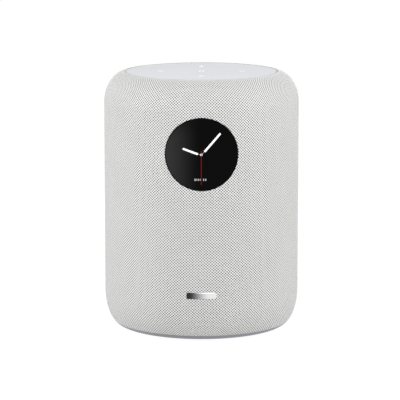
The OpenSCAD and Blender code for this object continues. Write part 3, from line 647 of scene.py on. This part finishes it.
def make_clock():
    """Analogue clock picture: two white hands with thin stems, a red second hand, a plain date mark."""
    layer = 0.01 * MM
    hand_w, stem_w = 1.45, 0.22
    centre = ((-0.25, 0), (-0.15, 0))
    dashes = ((-4.7, 0.8), (-3.4, 0.6), (-2.2, 0.6), (-1.0, 0.5), (1.5, 0.7), (3.0, 0.7))
    date = [((x, -17.8), (x, -18.7), width) for x, width in dashes]
    stems = [((0, 0), (-3.0, 0.6), stem_w), ((0, 0), (2.3, 2.4), stem_w)]
    mark("clock_date_mark", date, SCREEN_GREY, 2 * layer)
    mark("clock_stems", stems, SCREEN_GREY, 2 * layer)
    mark("clock_hour_hand", [((-3.2, 0.6), (-13.0, 4.1), hand_w)], SCREEN_WHITE, 3 * layer)
    mark("clock_minute_hand", [((2.5, 2.6), (13.2, 14.9), hand_w)], SCREEN_WHITE, 3 * layer)
    mark("clock_hub", [(*centre, 1.7)], SCREEN_WHITE, 4 * layer)
    second_hand = [((-0.2, 2.8), (-0.2, -21.8), 0.5), (*centre, 0.8)]
    mark("clock_second_hand", second_hand, SCREEN_RED, 6 * layer)


# ---------------------------------------------------------------- badge

def make_badge():
    """Plain crowned bar, curved with the body."""
    half_w = (BADGE_HIGH.x - BADGE_LOW.x) / 2
    half_h = (BADGE_HIGH.z - BADGE_LOW.z) / 2
    z0 = (BADGE_LOW.z + BADGE_HIGH.z) / 2
    corner = 1.4 * MM
    bevel = 0.35 * MM
    crown = 0.45 * MM
    flat_inset = 1.1 * MM
    depth_in_fabric = 0.2 * MM

    def ring(inset, lift):
        """Rounded rectangle from its right end's middle; its long sides have stations to bend at."""
        r = corner - inset
        angles = (math.pi / 2 * k / 8 for k in range(9))
        quarter_turn = [(r * math.cos(a), r * math.sin(a)) for a in angles]
        right = [(half_w - corner + x, half_h - corner + z) for x, z in quarter_turn]
        side = [((half_w - corner) * (1 - k / 10), half_h - inset) for k in range(1, 10)]
        upper = right + side
        upper += [(0, half_h - inset)] + [(-x, z) for x, z in reversed(upper)]
        return [on_body(x, z0 + z, lift) for x, z in upper + [(x, -z) for x, z in reversed(upper)]]

    bm = bmesh.new()
    levels = [(0, -depth_in_fabric)]
    for k in range(6):
        a = math.pi / 2 * k / 5
        levels.append((bevel * (1 - math.cos(a)), crown - bevel * (1 - math.sin(a))))
    levels.append((flat_inset, crown))
    loops = [[bm.verts.new(p) for p in ring(*level)] for level in levels]
    count = len(loops[0])
    for low, high in zip(loops, loops[1:]):
        for i in range(count):
            bm.faces.new((low[i], low[(i + 1) % count], high[(i + 1) % count], high[i]))
    top = loops[-1]
    for i in range(count // 2 - 1):
        bm.faces.new((top[i], top[i + 1], top[count - 2 - i], top[count - 1 - i]))
    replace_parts(add_piece("front_badge_bar", bm, "badge_metal"), "front_badge")


# ---------------------------------------------------------------- stage

def make_stage():
    """Plain white floor in even, dim surroundings."""
    bpy.ops.mesh.primitive_plane_add(size=30)
    floor = bpy.context.object
    floor.name = "floor"
    paint = Material("floor_paint", (0.12, 0.12, 0.12), 0.9)
    paint.set("Specular IOR Level", 0.0)
    paint.set("Emission Color", (1, 1, 1, 1))
    paint.set("Emission Strength", 0.95)
    floor.data.materials.append(paint.material)

    world = bpy.data.worlds.new("studio")
    bpy.context.scene.world = world
    world.use_nodes = True
    world.node_tree.nodes["Background"].inputs["Color"].default_value = (1, 1, 1, 1)
    world.node_tree.nodes["Background"].inputs["Strength"].default_value = 0.53


def add_softbox(name, place, aim, size, power):
    """Round area light of size metres and power watts; the camera doesn't see it."""
    light = bpy.data.lights.new(name, "AREA")
    light.shape = "DISK"
    light.size = size
    light.energy = power
    obj = bpy.data.objects.new(name, light)
    obj.visible_camera = False
    obj.location = place
    obj.rotation_euler = (Vector(aim) - Vector(place)).to_track_quat("-Z", "Y").to_euler()
    bpy.context.scene.collection.objects.link(obj)


def make_lights():
    """A large key above the front, a softer one behind, and two fills that lift the flanks."""
    add_softbox("key", (0, -0.78, 0.66), (0, 0, 0.12), 0.6, 7.0)
    add_softbox("back", (0, 0.85, 0.75), (0, 0, 0.12), 0.6, 2.3)
    add_softbox("fill_left", (-1.0, 0.05, 0.4), (0, 0, 0.1), 0.9, 6.6)
    add_softbox("fill_right", (1.0, 0.05, 0.4), (0, 0, 0.1), 0.9, 6.4)


def make_camera():
    """The photo's viewing angle, from its outline: looking down a little, from far off."""
    distance, elevation = 1.729, math.radians(9.78)
    aim = Vector((-0.00113, 0, 0.0949))
    data = bpy.data.cameras.new("camera")
    data.lens = 206.0
    data.sensor_width = 36
    camera = bpy.data.objects.new("camera", data)
    away = Vector((0, -math.cos(elevation), math.sin(elevation)))
    camera.location = aim + away * distance
    camera.rotation_euler = (-away).to_track_quat("-Z", "Y").to_euler()
    bpy.context.scene.collection.objects.link(camera)
    bpy.context.scene.camera = camera


make_camera()
make_stage()
make_lights()
dress_cad_nodes()
make_fabric()
make_display_glass()
make_clock()
make_badge()

bpy.context.scene.view_settings.view_transform = "Standard"
